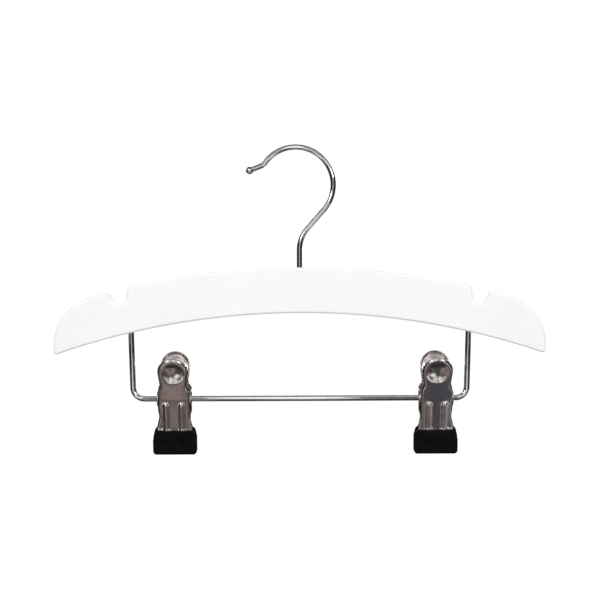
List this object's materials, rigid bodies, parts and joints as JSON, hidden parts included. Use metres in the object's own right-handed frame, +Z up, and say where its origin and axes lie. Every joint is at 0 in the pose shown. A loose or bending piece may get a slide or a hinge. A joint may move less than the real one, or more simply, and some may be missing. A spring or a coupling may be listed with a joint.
{
  "type": "skirt hanger",
  "caption": "Child's white wooden clothes hanger with a swivelling wire hook, and a wire bar below that carries sliding spring clips with rubber-booted jaws for a skirt or trousers.",
  "frame": {"origin": "on the hook's swivel axis, on the inside of the hook's crown where a rail bears", "axes": "+X along the board to the right as seen from the front, +Y to the back, +Z up along the hook's shank"},
  "size_m": [0.301, 0.0277, 0.1901],
  "materials": {
    "white_paint": "satin white lacquer over wood",
    "chrome_wire": "polished chrome plate",
    "plated_sheet": "bright nickel plate on pressed sheet",
    "spring_steel": "drawn spring wire, lightly oiled",
    "black_rubber": "smooth moulded soft rubber",
    "zinc_steel": "bright zinc plate"
  },
  "bodies": {
    "hook": {"hook": "chrome_wire", "hook_nut": "zinc_steel"},
    "hanger": {"wooden_body": "white_paint", "trouser_bar": "chrome_wire", "hook_washer": "zinc_steel"},
    "left_spring": {"left_spring": "spring_steel"},
    "left_rear_jaw": {"left_rear_jaw": "plated_sheet", "left_rear_boot": "black_rubber"},
    "left_front_jaw": {"left_front_jaw": "plated_sheet", "left_front_boot": "black_rubber"},
    "right_spring": {"right_spring": "spring_steel"},
    "right_rear_jaw": {"right_rear_jaw": "plated_sheet", "right_rear_boot": "black_rubber"},
    "right_front_jaw": {"right_front_jaw": "plated_sheet", "right_front_boot": "black_rubber"}
  },
  "joints": [
    {"name": "hook_swivel", "type": "hinge", "parent": "hook", "child": "hanger", "pos_m": [0, 0, -0.086], "axis": [0, 0, 1], "continuous": true},
    {"name": "left_clip_slide", "type": "slide", "parent": "hanger", "child": "left_spring", "axis": [1, 0, 0], "range_m": [-0.0075, 0.0625]},
    {"name": "left_clip_swing", "type": "hinge", "parent": "left_spring", "child": "left_rear_jaw", "pos_m": [-0.0774, 0, -0.15245], "axis": [1, 0, 0], "continuous": true, "deforming": ["left_spring"]},
    {"name": "left_clip_open", "type": "hinge", "parent": "left_rear_jaw", "child": "left_front_jaw", "pos_m": [-0.0774, 0, -0.15245], "axis": [-1, 0, 0], "range_deg": [0, 40], "stiffness_Nm_per_rad": 0.12, "springref_deg": -74.48, "deforming": ["left_spring"]},
    {"name": "right_clip_slide", "type": "slide", "parent": "hanger", "child": "right_spring", "axis": [1, 0, 0], "range_m": [-0.069, 0.001]},
    {"name": "right_clip_swing", "type": "hinge", "parent": "right_spring", "child": "right_rear_jaw", "pos_m": [0.0838, 0, -0.15245], "axis": [1, 0, 0], "continuous": true, "deforming": ["right_spring"]},
    {"name": "right_clip_open", "type": "hinge", "parent": "right_rear_jaw", "child": "right_front_jaw", "pos_m": [0.0838, 0, -0.15245], "axis": [-1, 0, 0], "range_deg": [0, 40], "stiffness_Nm_per_rad": 0.12, "springref_deg": -74.48, "deforming": ["right_spring"]}
  ]
}
